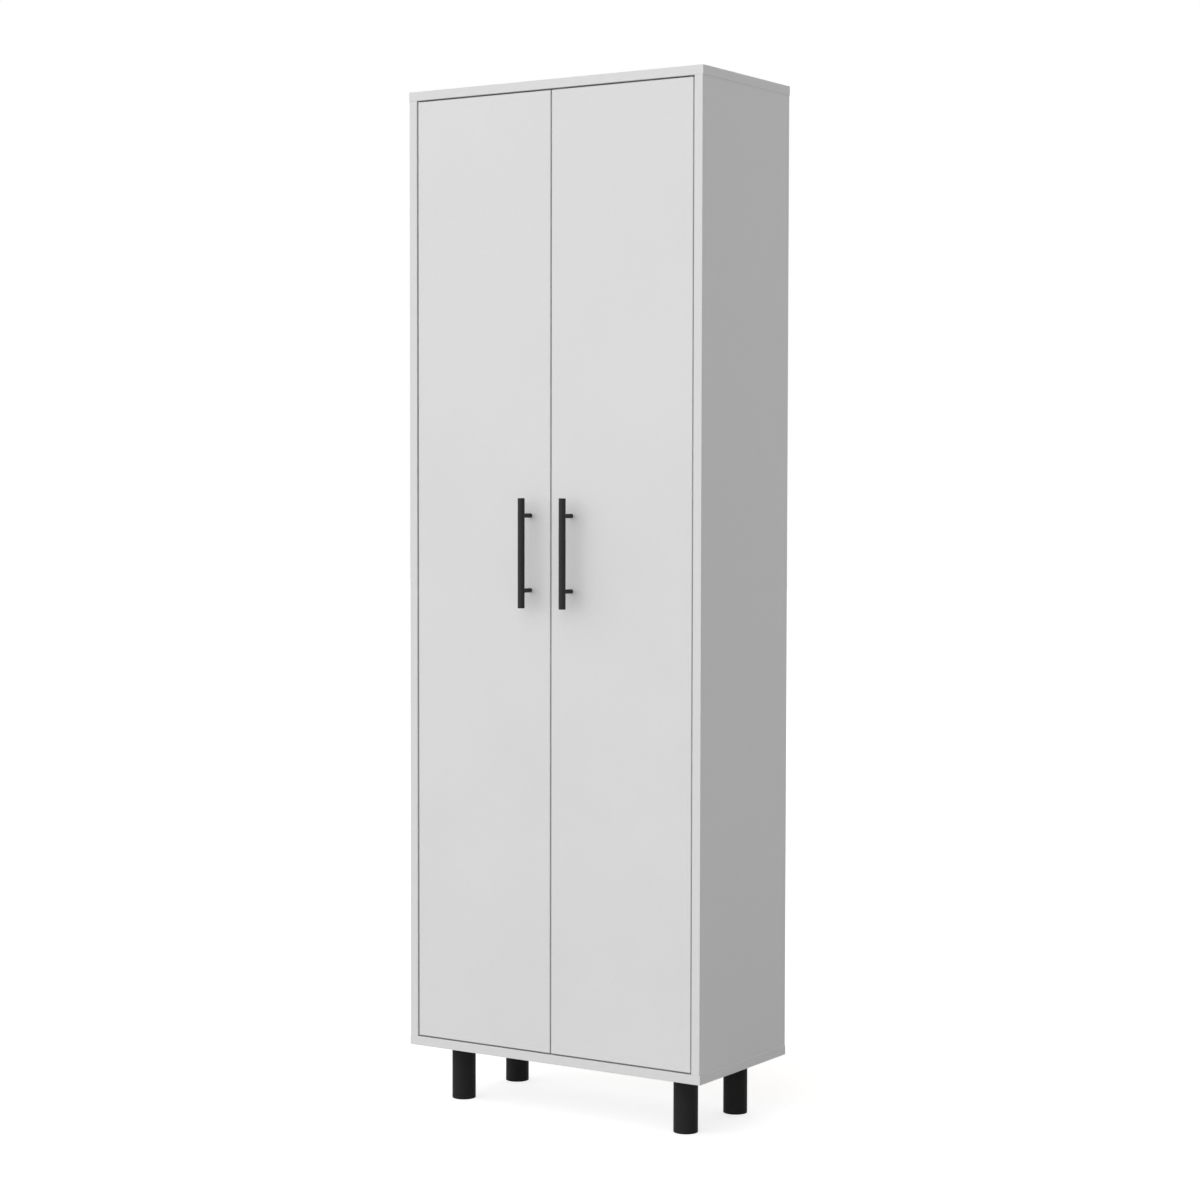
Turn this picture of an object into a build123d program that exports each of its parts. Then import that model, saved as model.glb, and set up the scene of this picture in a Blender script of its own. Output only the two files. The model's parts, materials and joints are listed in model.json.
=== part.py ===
"""Tall two-door pantry cabinet on four round legs, in flat-pack board construction.

The origin is on the floor, at the middle of the footprint with the handles counted in.
+X is to the right of someone facing the doors, +Y runs from the doors to the back, +Z is up.
"""

import os
from collections import defaultdict
from functools import cache
from math import cos, pi, sin

from build123d import *

# Carcass boards
cabinet_width = 600.0
cabinet_depth = 292.0
side_height = 1650.0
board_thickness = 16.0
side_inset = 1.0
edge_round = 0.8

# Back
back_thickness = 3.0
back_inset = 8.0
groove_depth = 6.0
groove_clearance = 0.2
back_split_gap = 0.6
nail_count = 5
nail_radius = 0.8
nail_length = 20.0
nail_head_radius = 2.2
nail_head_height = 0.8
nail_end_margin = 45.0

# Doors
door_thickness = 16.0
door_skin = 3.5
door_gap = 2.5
door_setback = 1.0

# Shelves
fixed_shelf_clearance = 12.0
shelf_clearance = 34.0
shelf_end_gap = 1.0
shelf_back_gap = 1.5
shelves_per_bay = 2
pin_hole_radius = 2.5
pin_hole_skin = 6.0
pin_hole_pitch = 32.0
pin_hole_steps = 2
pin_peg_radius = 3.5
pin_peg_length = 8.0
pin_front_margin = 40.0
pin_back_margin = 40.0

# Joint fittings
fitting_clearance = 0.05
cam_radius = 7.5
cam_skin = 3.5
cam_reach = 34.0
cam_drive_radius = 2.5
cam_drive_depth = 3.0
cam_cap_radius = 9.0
cam_cap_height = 1.0
cam_stub_length = 2.0
bolt_thread_radius = 2.5
bolt_skin = 5.0
bolt_rod_radius = 3.2
bolt_bore_radius = 3.6
dowel_radius = 4.0
dowel_skin = 5.0
dowel_inner_length = 19.0
dowel_end_gap = 0.5
cam_front_margin = 70.0
cam_back_margin = 60.0
dowel_offset = 32.0

# Legs
leg_height = 100.0
leg_radius = 21.0
leg_wall = 3.0
leg_floor = 4.0
leg_foot_round = 0.6
leg_side_margin = 68.5
leg_front_margin = 68.5
leg_back_margin = 56.0
leg_plate_margin = 9.0
leg_plate_thickness = 3.0
leg_plug_height = 20.0
leg_plug_wall = 3.0
leg_plug_clearance = 0.1
leg_screw_count = 4
leg_screw_margin = 4.4
glide_margin = 5.0
glide_thickness = 3.3
glide_proud = 0.3
glide_clearance = 0.1
glide_round = 0.6

# Handles
handle_height = 979.0
handle_offset = 42.0
handle_bar_radius = 6.0
handle_bar_length = 188.0
handle_hole_spacing = 128.0
handle_standoff = 28.0
handle_post_radius = 3.75
handle_post_sink = 4.0
handle_end_round = 0.8
handle_screw_radius = 2.0
handle_screw_grip = 10.0

# Hinges
hinge_margin = 100.0
hinge_middle_offset = 70.0
cup_radius = 17.5
cup_wall = 1.0
cup_edge_distance = 3.5
cup_clearance = 0.1
cup_flange_lip = 2.0
cup_flange_thickness = 1.2
cup_screw_margin = 6.5
cup_screw_offset = 6.0
cup_wing_radius = 6.0
pivot_cup_offset = 7.5
pivot_pin_radius = 1.5
pivot_pin_length = 25.0
pivot_clearance = 0.05
knuckle_radius = 2.4
knuckle_floor_gap = 0.2
knuckle_end_play = 0.5
lug_width = 5.2
lug_height = 5.4
arm_thickness = 2.5
arm_width = 12.0
arm_hook = 15.0
arm_exit = 9.0
arm_bend_radius = 2.5
arm_crank_run = 13.0
arm_channel_start = 9.5
arm_channel_length = 40.5
arm_flange_thickness = 1.4
arm_flange_lift = 3.0
plate_thickness = 2.0
plate_length = 52.0
plate_width = 18.0
plate_corner_round = 6.0
plate_screw_spacing = 32.0
plate_block_height = 9.5
plate_block_width = 13.2
plate_block_clearance = 0.2
arm_screw_margin = 7.0

# Catches
catch_width = 68.0
catch_depth = 14.0
catch_height = 12.0
catch_screw_margin = 5.0
magnet_width = 16.0
magnet_height = 7.0
magnet_depth = 8.0
magnet_proud = 0.8
magnet_offset = 14.0
magnet_clearance = 0.1
catch_gap = 0.5
strike_width = 20.0
strike_height = 12.0
strike_thickness = 1.2
strike_stem_radius = 2.0
strike_stem_length = 8.0

# Wall brackets
bracket_spacing = 400.0
bracket_width = 30.0
bracket_leg = 30.0
bracket_thickness = 2.0
bracket_hole_radius = 2.6
bracket_back_hole_radius = 4.0
bracket_hole_drop = 18.0
bracket_screw_spacing = 16.0

# Wood screws
screw_radius = 1.75
screw_length = 13.0
screw_head_radius = 3.2
screw_head_height = 1.8
screw_head_round = 0.6
drive_span = 3.8
drive_width = 0.9
drive_depth = 1.0

# Places worked out from the sizes above
inner_half = cabinet_width / 2 - side_inset - board_thickness
outer_half = cabinet_width / 2 - side_inset
bottom_top = leg_height + board_thickness
top_bottom = bottom_top + side_height
cabinet_height = top_bottom + board_thickness
handle_reach = handle_standoff + handle_bar_radius
overall_depth = cabinet_depth + handle_reach - door_setback
back_face = overall_depth / 2
front_face = back_face - cabinet_depth
door_front = front_face + door_setback
door_back = door_front + door_thickness
door_width = inner_half - 1.5 * door_gap
door_bottom = bottom_top + door_gap
door_top = top_bottom - door_gap
back_panel_rear = back_face - back_inset
back_panel_front = back_panel_rear - back_thickness
fixed_shelf_middle = (bottom_top + top_bottom) / 2
fixed_shelf_bottom = fixed_shelf_middle - board_thickness / 2
fixed_shelf_top = fixed_shelf_middle + board_thickness / 2
nail_row_offset = board_thickness / 4
pin_hole_depth = board_thickness - pin_hole_skin
cam_depth = board_thickness - cam_skin
bolt_thread_length = board_thickness - bolt_skin
dowel_outer_length = board_thickness - dowel_skin
glide_radius = leg_radius - glide_margin
leg_plate_radius = leg_radius + leg_plate_margin
leg_screw_circle = leg_radius + leg_screw_margin
cup_from_side = door_gap + cup_edge_distance + cup_radius
cup_bottom = door_skin + cup_clearance
cup_flange_radius = cup_radius + cup_flange_lip
cup_screw_spacing = 2 * (cup_radius + cup_screw_margin)
pivot_from_side = cup_from_side - pivot_cup_offset
pivot_from_front = cup_bottom + cup_wall + knuckle_floor_gap + knuckle_radius
arm_hook_depth = door_thickness + arm_exit
arm_shoulder_depth = arm_hook_depth + arm_crank_run
arm_channel_depth = arm_shoulder_depth + arm_channel_start
arm_end_depth = arm_channel_depth + arm_channel_length
arm_screw_depths = (arm_channel_depth + arm_screw_margin, arm_end_depth - arm_screw_margin)
plate_depth = (arm_channel_depth + arm_end_depth) / 2
hinge_heights = {
    "bottom": door_bottom + hinge_margin,
    "middle": fixed_shelf_middle + hinge_middle_offset,
    "top": door_top - hinge_margin,
}
handle_x = {"left": -handle_offset, "right": handle_offset}

pieces = defaultdict(list)
cuts = defaultdict(list)


def block(x0, x1, y0, y1, z0, z1):
    """A box between two corners."""
    middle = Pos((x0 + x1) / 2, (y0 + y1) / 2, (z0 + z1) / 2)
    return middle * Box(x1 - x0, y1 - y0, z1 - z0)


def board(x0, x1, y0, y1, z0, z1, butted=False):
    """A panel whose edges are eased by a small radius; upright ends that butt others stay square."""
    raw = block(x0, x1, y0, y1, z0, z1)
    eased = raw.edges().filter_by(Axis.Z) if butted else raw.edges()
    return fillet(eased, edge_round)


def rod(radius, start, end):
    """A round bar from one point to another."""
    run = Vector(*end) - Vector(*start)
    base = Plane(origin=start, z_dir=run)
    return base * Cylinder(radius, run.length, align=(Align.CENTER, Align.CENTER, Align.MIN))


@cache
def wood_screw(length, radius):
    """A pan-head screw with its seat at the origin and its shank along +Z."""
    head = rod(screw_head_radius, (0, 0, -screw_head_height), (0, 0, 0))
    head = fillet(head.edges().group_by(Axis.Z)[0], screw_head_round)
    half_width = drive_width / 2
    half_span = drive_span / 2
    slot_end = drive_depth - screw_head_height
    slot = block(-half_width, half_width, -half_span, half_span, -screw_head_height, slot_end)
    return head + rod(radius, (0, 0, 0), (0, 0, length)) - [slot, Rot(0, 0, 90) * slot]


def pilot_hole(point, inward, length=screw_length, radius=screw_radius):
    """The hole that a screw's shank runs in, from the seat to just past its tip."""
    start = Vector(*point)
    end = start + Vector(*inward).normalized() * (length + fitting_clearance)
    return rod(radius + fitting_clearance, start, end)


def drive(node, point, inward, into, length=screw_length, radius=screw_radius):
    """Adds a screw to a node and its hole to every piece that it runs through."""
    seat = Plane(origin=point, z_dir=inward)
    pieces[node].append(seat * wood_screw(length, radius))
    for holed in into:
        cuts[holed].append(pilot_hole(point, inward, length, radius))


def joint_plane(point, out, face):
    """Local axes at a board joint: Z towards the receiving board, X out of the cam's face."""
    return Plane(origin=point, x_dir=face, z_dir=out)


def cam_fitting(point, out, face, edge_board, receiving_board):
    """A cam lock in one board's face, drawing a bolt that is screwed into the other board."""
    local = joint_plane(point, out, face)
    surface = board_thickness / 2
    gap = fitting_clearance

    def across(radius, x0, x1):
        return rod(radius, (x0, 0, -cam_reach), (x1, 0, -cam_reach))

    def along(radius, z0, z1):
        return rod(radius, (0, 0, z0), (0, 0, z1))

    bore_end = -cam_reach - bolt_rod_radius
    lock = across(cam_radius, surface - cam_depth, surface)
    lock -= across(cam_drive_radius, surface - cam_drive_depth, surface)
    lock -= along(bolt_bore_radius, bore_end, 0)
    bolt = along(bolt_thread_radius, 0, bolt_thread_length) + along(bolt_rod_radius, -cam_reach, 0)
    cap = across(cam_cap_radius, surface, surface + cam_cap_height)
    cap += across(cam_drive_radius - 2 * gap, surface - cam_stub_length, surface)
    pieces["cam_locks"].append(local * lock)
    pieces["cam_bolts"].append(local * bolt)
    pieces["cam_caps"].append(local * cap)
    cuts[edge_board].append(local * across(cam_radius + gap, surface - cam_depth - gap, surface))
    cuts[edge_board].append(local * along(bolt_bore_radius, bore_end, 0))
    cuts[receiving_board].append(local * along(bolt_thread_radius + gap, 0, bolt_thread_length + gap))


def dowel(point, out, face, edge_board, receiving_board):
    """A wooden dowel that lines two boards up, partly in each."""
    local = joint_plane(point, out, face)
    inner = -dowel_inner_length
    outer = dowel_outer_length
    hole = dowel_radius + fitting_clearance
    pieces["dowels"].append(local * rod(dowel_radius, (0, 0, inner), (0, 0, outer)))
    cuts[edge_board].append(local * rod(hole, (0, 0, inner - dowel_end_gap), (0, 0, 0)))
    cuts[receiving_board].append(local * rod(hole, (0, 0, 0), (0, 0, outer + dowel_end_gap)))


def join_boards():
    """Cams and dowels at the top, the bottom and the fixed shelf, on both sides."""
    front_cam = front_face + cam_front_margin
    back_cam = back_panel_front - cam_back_margin
    board_middle = inner_half + board_thickness / 2
    for hand, side in ((-1, "left_side_panel"), (1, "right_side_panel")):
        sites = (
            ((hand * board_middle, top_bottom), (0, 0, 1), (-hand, 0, 0), side, "top_panel"),
            ((hand * board_middle, bottom_top), (0, 0, -1), (-hand, 0, 0), side, "bottom_panel"),
            ((hand * inner_half, fixed_shelf_middle), (hand, 0, 0), (0, 0, -1), "fixed_shelf", side),
        )
        for (x, z), out, face, edge_board, receiving_board in sites:
            for y in (front_cam, back_cam):
                cam_fitting((x, y, z), out, face, edge_board, receiving_board)
            for y in (front_cam + dowel_offset, back_cam - dowel_offset):
                dowel((x, y, z), out, face, edge_board, receiving_board)


def carcass_boards():
    """Top, bottom and sides, each grooved for the back."""
    groove_front = back_panel_front - groove_clearance
    groove_rear = back_panel_rear + groove_clearance
    groove_half = inner_half + groove_depth
    half_width = cabinet_width / 2
    pieces["top_panel"].append(
        board(-half_width, half_width, front_face, back_face, top_bottom, cabinet_height)
    )
    pieces["bottom_panel"].append(
        board(-half_width, half_width, front_face, back_face, leg_height, bottom_top)
    )
    for hand, name in ((-1, "left_side_panel"), (1, "right_side_panel")):
        inner, outer = sorted((hand * inner_half, hand * outer_half))
        side = board(inner, outer, front_face, back_face, bottom_top, top_bottom, butted=True)
        pieces[name].append(side)
    groove = block(
        -groove_half, groove_half, groove_front, groove_rear,
        bottom_top - groove_depth, top_bottom + groove_depth,
    )
    for name in ("top_panel", "bottom_panel", "left_side_panel", "right_side_panel"):
        cuts[name].append(groove)


def shelves():
    """One fixed shelf in the middle, and adjustable shelves on pins above and below it."""
    fixed_front = door_back + fixed_shelf_clearance
    pieces["fixed_shelf"].append(
        board(-inner_half, inner_half, fixed_front, back_panel_front, fixed_shelf_bottom, fixed_shelf_top)
    )
    shelf_front = door_back + shelf_clearance
    shelf_back = back_panel_front - shelf_back_gap
    shelf_half = inner_half - shelf_end_gap
    columns = (shelf_front + pin_front_margin, shelf_back - pin_back_margin)
    bays = ((bottom_top, fixed_shelf_bottom), (fixed_shelf_top, top_bottom))
    number = 0
    for low, high in bays:
        clear = (high - low - shelves_per_bay * board_thickness) / (shelves_per_bay + 1)
        for step in range(shelves_per_bay):
            number += 1
            underside = low + (step + 1) * clear + step * board_thickness
            upper_face = underside + board_thickness
            pieces[f"adjustable_shelf_{number}"].append(
                board(-shelf_half, shelf_half, shelf_front, shelf_back, underside, upper_face)
            )
            for y in columns:
                shelf_supports(y, underside - pin_peg_radius)


def shelf_supports(y, height):
    """A pin on each side under a shelf, and the row of holes it can be moved along."""
    for hand, side in ((-1, "left_side_panel"), (1, "right_side_panel")):
        wall = hand * inner_half
        stem_end = wall + hand * (pin_hole_depth - dowel_end_gap)
        stem = rod(pin_hole_radius - fitting_clearance, (wall, y, height), (stem_end, y, height))
        peg = rod(pin_peg_radius, (wall, y, height), (wall - hand * pin_peg_length, y, height))
        pieces["shelf_pins"].append(stem + peg)
        for step in range(-pin_hole_steps, pin_hole_steps + 1):
            z = height + step * pin_hole_pitch
            cuts[side].append(rod(pin_hole_radius, (wall, y, z), (wall + hand * pin_hole_depth, y, z)))


def back_panels():
    """Two thin panels in the grooves, meeting behind the fixed shelf and nailed to it."""
    half = inner_half + groove_depth - groove_clearance
    low = bottom_top - groove_depth + groove_clearance
    high = top_bottom + groove_depth - groove_clearance
    split_low = fixed_shelf_middle - back_split_gap / 2
    split_high = fixed_shelf_middle + back_split_gap / 2
    spans = {
        "lower_back_panel": (low, split_low, fixed_shelf_middle - nail_row_offset),
        "upper_back_panel": (split_high, high, fixed_shelf_middle + nail_row_offset),
    }
    nail_step = 2 * (inner_half - nail_end_margin) / (nail_count - 1)
    for name, (bottom, top, nail_row) in spans.items():
        pieces[name].append(block(-half, half, back_panel_front, back_panel_rear, bottom, top))
        for index in range(nail_count):
            x = -inner_half + nail_end_margin + index * nail_step
            seat = (x, back_panel_rear, nail_row)
            tip = (x, back_panel_rear - nail_length, nail_row)
            head = rod(nail_head_radius, seat, (x, back_panel_rear + nail_head_height, nail_row))
            pieces["back_nails"].append(head + rod(nail_radius, seat, tip))
            for holed in (name, "fixed_shelf"):
                cuts[holed].append(pilot_hole(seat, (0, -1, 0), nail_length, nail_radius))


def legs():
    """Hollow round legs, each pushed over the plug of a plate screwed under the bottom panel."""
    places = {
        "left_front": (-1, front_face + leg_front_margin),
        "right_front": (1, front_face + leg_front_margin),
        "left_rear": (-1, back_face - leg_back_margin),
        "right_rear": (1, back_face - leg_back_margin),
    }
    plate_bottom = leg_height - leg_plate_thickness
    plug_radius = leg_radius - leg_wall - leg_plug_clearance
    for place, (hand, y) in places.items():
        x = hand * (cabinet_width / 2 - leg_side_margin)

        def upright(radius, z0, z1):
            return rod(radius, (x, y, z0), (x, y, z1))

        leg = upright(leg_radius, glide_proud, plate_bottom)
        leg = fillet(leg.edges().group_by(Axis.Z)[0], leg_foot_round)
        leg -= upright(leg_radius - leg_wall, glide_proud + leg_floor, plate_bottom)
        leg -= upright(glide_radius + glide_clearance, glide_proud, glide_thickness)
        pieces[f"{place}_leg"].append(leg)
        plate = upright(leg_plate_radius, plate_bottom, leg_height)
        plate += upright(plug_radius, plate_bottom - leg_plug_height, plate_bottom)
        plate -= upright(plug_radius - leg_plug_wall, plate_bottom - leg_plug_height, plate_bottom)
        pieces[f"{place}_leg_plate"].append(plate)
        glide = upright(glide_radius, 0, glide_thickness)
        pieces["leg_glides"].append(fillet(glide.edges().group_by(Axis.Z)[0], glide_round))
        for index in range(leg_screw_count):
            turn = 2 * pi * (index + 0.5) / leg_screw_count
            point = (x + leg_screw_circle * cos(turn), y + leg_screw_circle * sin(turn), plate_bottom)
            drive("leg_screws", point, (0, 0, 1), (f"{place}_leg_plate", "bottom_panel"))


def left_plan(from_side, from_front, z):
    """A point given by its distances from the left side panel's inner face and the doors' front."""
    return (from_side - inner_half, door_front + from_front, z)


def left_rod(radius, from_side, depths, z=0):
    """A round bar that runs straight into the cabinet, placed in the left door's plan."""
    return rod(radius, left_plan(from_side, depths[0], z), left_plan(from_side, depths[1], z))


def left_block(sides, depths, heights):
    """A box placed in the left door's plan."""
    x0, y0, z0 = left_plan(sides[0], depths[0], min(heights))
    x1, y1, z1 = left_plan(sides[1], depths[1], max(heights))
    return block(x0, x1, y0, y1, z0, z1)


@cache
def hinge_cup():
    """The cup that is let into the door, with its flange and the two lugs that hold the pin."""
    body_radius = cup_radius - cup_clearance
    floor = cup_bottom + cup_wall
    flange_top = door_thickness + cup_flange_thickness
    flange_span = (door_thickness, flange_top)
    wing = cup_from_side + cup_screw_offset
    half_spacing = cup_screw_spacing / 2
    cup = left_rod(cup_flange_radius, cup_from_side, flange_span)
    cup += left_rod(body_radius, cup_from_side, (cup_bottom, door_thickness))
    cup += left_block(
        (wing - cup_wing_radius, wing + cup_wing_radius), flange_span, (-half_spacing, half_spacing)
    )
    for end in (-half_spacing, half_spacing):
        cup += left_rod(cup_wing_radius, wing, flange_span, end)
    cup -= left_rod(body_radius - cup_wall, cup_from_side, (floor, flange_top))
    lug_sides = (pivot_from_side - lug_width / 2, pivot_from_side + lug_width / 2)
    lug_near = arm_width / 2 + knuckle_end_play
    for hand in (-1, 1):
        lug_ends = (hand * lug_near, hand * pivot_pin_length / 2)
        cup += left_block(lug_sides, (cup_bottom, floor + lug_height), lug_ends)
    return cup - pivot_bar(pivot_pin_radius + pivot_clearance, pivot_pin_length)


def pivot_bar(radius, length):
    """A round bar on the left door's pivot line."""
    start = left_plan(pivot_from_side, pivot_from_front, -length / 2)
    return rod(radius, start, left_plan(pivot_from_side, pivot_from_front, length / 2))


@cache
def hinge_arm():
    """A bent strip from the pivot, out of the cup and back to a channel over the plate."""
    web_middle = plate_block_height + arm_thickness / 2
    hook_end = pivot_from_side + arm_hook
    corners = (
        (pivot_from_side, pivot_from_front),
        (hook_end, pivot_from_front),
        (hook_end, arm_hook_depth),
        (web_middle, arm_shoulder_depth),
        (web_middle, arm_end_depth),
    )
    points = [left_plan(from_side, depth, 0)[:2] for from_side, depth in corners]
    strip = trace(FilletPolyline(*points, radius=arm_bend_radius), line_width=arm_thickness)
    arm = extrude(strip, arm_width / 2, both=True) + pivot_bar(knuckle_radius, arm_width)
    channel_half = plate_block_width / 2 + plate_block_clearance + arm_flange_thickness
    channel_span = (arm_channel_depth, arm_end_depth)
    web_sides = (plate_block_height, plate_block_height + arm_thickness)
    arm += left_block(web_sides, channel_span, (-channel_half, channel_half))
    for hand in (-1, 1):
        flange_ends = (hand * (channel_half - arm_flange_thickness), hand * channel_half)
        arm += left_block((arm_flange_lift, plate_block_height), channel_span, flange_ends)
    return arm - pivot_bar(pivot_pin_radius + pivot_clearance, arm_width)


@cache
def hinge_plate():
    """The plate on the side panel, with the block that carries the arm."""
    half_length = plate_length / 2
    half_block = plate_block_width / 2
    wing_span = (plate_depth - plate_width / 2, plate_depth + plate_width / 2)
    wing = left_block((0, plate_thickness), wing_span, (-half_length, half_length))
    wing = fillet(wing.edges().filter_by(Axis.X), plate_corner_round)
    block_span = (arm_channel_depth, arm_end_depth)
    return wing + left_block((0, plate_block_height), block_span, (-half_block, half_block))


def hand_over(shape, hand):
    """The shape itself for the left side, and its mirror image for the right."""
    return shape if hand == "left" else mirror(shape, about=Plane.YZ)


def hand_point(point, hand):
    """The same for a point or a direction."""
    x, y, z = point
    return (x, y, z) if hand == "left" else (-x, y, z)


def hinges(hand):
    """Three hinges on one door, with their screws and the holes for them."""
    cup_bore = left_rod(cup_radius, cup_from_side, (door_skin, door_thickness))
    for level, z in hinge_heights.items():
        made = {
            f"{hand}_{level}_hinge_arm": hinge_arm(),
            f"{hand}_hinge_plates": hinge_plate(),
            f"{hand}_hinge_cups": hinge_cup(),
            f"{hand}_hinge_pins": pivot_bar(pivot_pin_radius, pivot_pin_length),
        }
        for node, shape in made.items():
            pieces[node].append(Pos(0, 0, z) * hand_over(shape, hand))
        cuts[f"{hand}_door"].append(Pos(0, 0, z) * hand_over(cup_bore, hand))
        for step in (-0.5, 0.5):
            cup_seat = left_plan(
                cup_from_side + cup_screw_offset,
                door_thickness + cup_flange_thickness,
                z + step * cup_screw_spacing,
            )
            drive(
                f"{hand}_cup_screws", hand_point(cup_seat, hand), (0, -1, 0),
                (f"{hand}_hinge_cups", f"{hand}_door"),
            )
            plate_seat = left_plan(plate_thickness, plate_depth, z + step * plate_screw_spacing)
            drive(
                "hinge_plate_screws", hand_point(plate_seat, hand), hand_point((-1, 0, 0), hand),
                (f"{hand}_hinge_plates", f"{hand}_side_panel"),
            )
        for depth in arm_screw_depths:
            arm_seat = left_plan(plate_block_height + arm_thickness, depth, z)
            drive(
                "hinge_arm_screws", hand_point(arm_seat, hand), hand_point((-1, 0, 0), hand),
                (f"{hand}_{level}_hinge_arm", f"{hand}_hinge_plates"),
                length=plate_block_height,
            )


def door(hand):
    """One inset door leaf, eased at its edges."""
    hinge_edge, front, bottom = left_plan(door_gap, 0, door_bottom)
    free_edge, back, top = left_plan(door_gap + door_width, door_thickness, door_top)
    leaf = board(hinge_edge, free_edge, front, back, bottom, top)
    pieces[f"{hand}_door"].append(hand_over(leaf, hand))


def handle(hand):
    """A round bar on two posts, each held by a screw through the door."""
    x = handle_x[hand]
    bar_y = door_front - handle_standoff
    half = handle_bar_length / 2
    bar = rod(handle_bar_radius, (x, bar_y, handle_height - half), (x, bar_y, handle_height + half))
    pieces[f"{hand}_handle_bar"].append(fillet(bar.edges(), handle_end_round))
    post_end = bar_y + handle_bar_radius - handle_post_sink
    screw_total = door_thickness + handle_screw_grip
    for step in (-0.5, 0.5):
        z = handle_height + step * handle_hole_spacing
        pieces[f"{hand}_handle_posts"].append(
            rod(handle_post_radius, (x, door_front, z), (x, post_end, z))
        )
        seat_radius = handle_post_radius + fitting_clearance
        cuts[f"{hand}_handle_bar"].append(rod(seat_radius, (x, door_front, z), (x, post_end, z)))
        drive(
            f"{hand}_handle_screws", (x, door_back, z), (0, -1, 0),
            (f"{hand}_door", f"{hand}_handle_posts"),
            length=screw_total, radius=handle_screw_radius,
        )


def catches():
    """A double magnetic catch under the top and on the bottom, and its strikes on the doors."""
    strike_face = door_back + strike_thickness
    magnet_front = strike_face + catch_gap
    housing_front = magnet_front + magnet_proud
    housing_back = housing_front + catch_depth
    half = catch_width / 2
    for carrier, mount_z, up in (("top_panel", top_bottom, 1), ("bottom_panel", bottom_top, -1)):
        z0, z1 = sorted((mount_z, mount_z - up * catch_height))
        middle = (z0 + z1) / 2
        housing = block(-half, half, housing_front, housing_back, z0, z1)
        for hand, sign in (("left", -1), ("right", 1)):
            x = sign * magnet_offset
            reach = (x - magnet_width / 2, x + magnet_width / 2)
            rise = (middle - magnet_height / 2, middle + magnet_height / 2)
            rear = magnet_front + magnet_depth
            pieces["catch_magnets"].append(block(*reach, magnet_front, rear, *rise))
            room = magnet_clearance
            housing -= block(
                reach[0] - room, reach[1] + room, housing_front, rear + room,
                rise[0] - room, rise[1] + room,
            )
            strike = block(
                x - strike_width / 2, x + strike_width / 2, door_back, strike_face,
                middle - strike_height / 2, middle + strike_height / 2,
            )
            stem_end = (x, door_back - strike_stem_length, middle)
            stem = rod(strike_stem_radius, (x, strike_face, middle), stem_end)
            pieces[f"{hand}_strike_plates"].append(strike + stem)
            cuts[f"{hand}_door"].append(
                pilot_hole((x, door_back, middle), (0, -1, 0), strike_stem_length, strike_stem_radius)
            )
            screw_x = sign * (half - catch_screw_margin)
            point = (screw_x, (housing_front + housing_back) / 2, mount_z - up * catch_height)
            drive(
                "catch_screws", point, (0, 0, up), ("magnetic_catches", carrier),
                length=catch_height + board_thickness / 2,
            )
        pieces["magnetic_catches"].append(housing)


def wall_brackets():
    """Two angle brackets under the top, in front of the back, that take the wall screws."""
    hole_z = top_bottom - bracket_hole_drop
    for sign in (-1, 1):
        x = sign * bracket_spacing / 2
        reach = (x - bracket_width / 2, x + bracket_width / 2)
        front = back_panel_front - bracket_leg
        flat = block(*reach, front, back_panel_front, top_bottom - bracket_thickness, top_bottom)
        upright = block(
            *reach, back_panel_front - bracket_thickness, back_panel_front,
            top_bottom - bracket_leg, top_bottom,
        )
        wall_hole = rod(bracket_hole_radius, (x, front, hole_z), (x, back_face, hole_z))
        pieces["wall_brackets"].append(flat + upright - wall_hole)
        cuts["upper_back_panel"].append(
            rod(bracket_back_hole_radius, (x, back_panel_front, hole_z), (x, back_face, hole_z))
        )
        for step in (-0.5, 0.5):
            point = (
                x + step * bracket_screw_spacing,
                back_panel_front - bracket_leg / 2,
                top_bottom - bracket_thickness,
            )
            drive("wall_bracket_screws", point, (0, 0, 1), ("wall_brackets", "top_panel"))


def write_pieces():
    """Cuts each node's holes and writes it to its own file."""
    os.makedirs("parts", exist_ok=True)
    for name, solids in pieces.items():
        finished = []
        for solid in solids:
            reach = solid.bounding_box()
            near = [cut for cut in cuts[name] if cut.bounding_box().overlaps(reach)]
            holed = solid - near if near else solid
            finished.extend(holed.solids())
        export_step(Compound(children=finished), f"parts/{name}.step")
        print(name, len(finished))


carcass_boards()
shelves()
back_panels()
join_boards()
legs()
for hand_name in ("left", "right"):
    door(hand_name)
    hinges(hand_name)
    handle(hand_name)
catches()
wall_brackets()
write_pieces()
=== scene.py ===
# %% [markdown]
# # A tall pantry cabinet, dressed for a studio picture
# The cabinet stands here already, built and measured: every board, hinge, screw and leg is a node of a
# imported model, with its place in its mesh. This lesson gives those nodes what the eye reads: the finish
# of each surface, the small turned fittings, soft studio light and a camera. Nothing that was built is
# moved.

# %% Load the frame
import json
from collections import namedtuple
from math import cos, degrees, pi, radians, sin

import bmesh
import bpy
from mathutils import Matrix, Vector


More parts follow.
